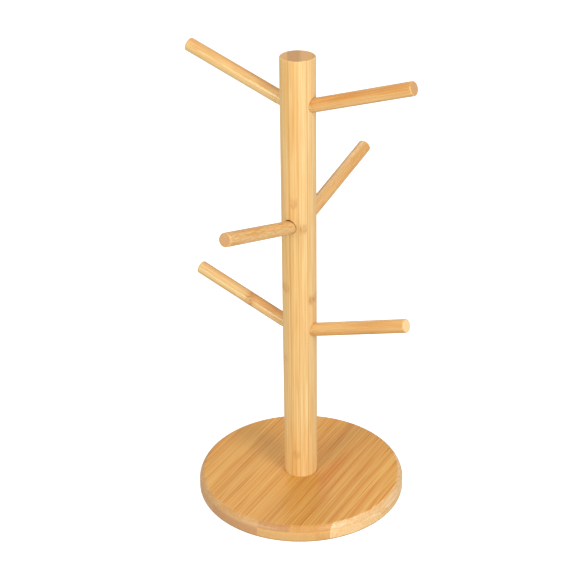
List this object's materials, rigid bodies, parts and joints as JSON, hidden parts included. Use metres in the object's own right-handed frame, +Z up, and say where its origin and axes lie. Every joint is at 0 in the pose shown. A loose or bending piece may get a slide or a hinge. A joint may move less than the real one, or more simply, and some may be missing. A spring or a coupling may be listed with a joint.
{
  "type": "mug tree",
  "caption": "Free-standing mug tree with a round base disc, a round post and straight dowel pegs that rise outwards in crossed tiers.",
  "frame": {"origin": "on the post's axis at the floor, under the foot pads", "axes": "+Z up along the post; the top and low tiers of pegs lie along X, the middle tier along Y, and -Y is the front"},
  "size_m": [0.1738, 0.174, 0.331],
  "materials": {
    "base_bamboo": "satin laminated bamboo",
    "post_bamboo": "satin laminated bamboo",
    "peg_bamboo": "satin bamboo dowel",
    "steel": "zinc plated",
    "zinc": "die-cast zinc alloy",
    "pad": "matt foam rubber"
  },
  "bodies": {
    "root": {"base": "base_bamboo", "post": "post_bamboo", "threaded_insert": "zinc", "base_bolt": "steel", "washer": "steel", "peg_top_left": "peg_bamboo", "peg_top_right": "peg_bamboo", "peg_middle_back": "peg_bamboo", "peg_middle_front": "peg_bamboo", "peg_low_left": "peg_bamboo", "peg_low_right": "peg_bamboo", "foot_pad_1": "pad", "foot_pad_2": "pad", "foot_pad_3": "pad", "foot_pad_4": "pad"}
  },
  "joints": []
}
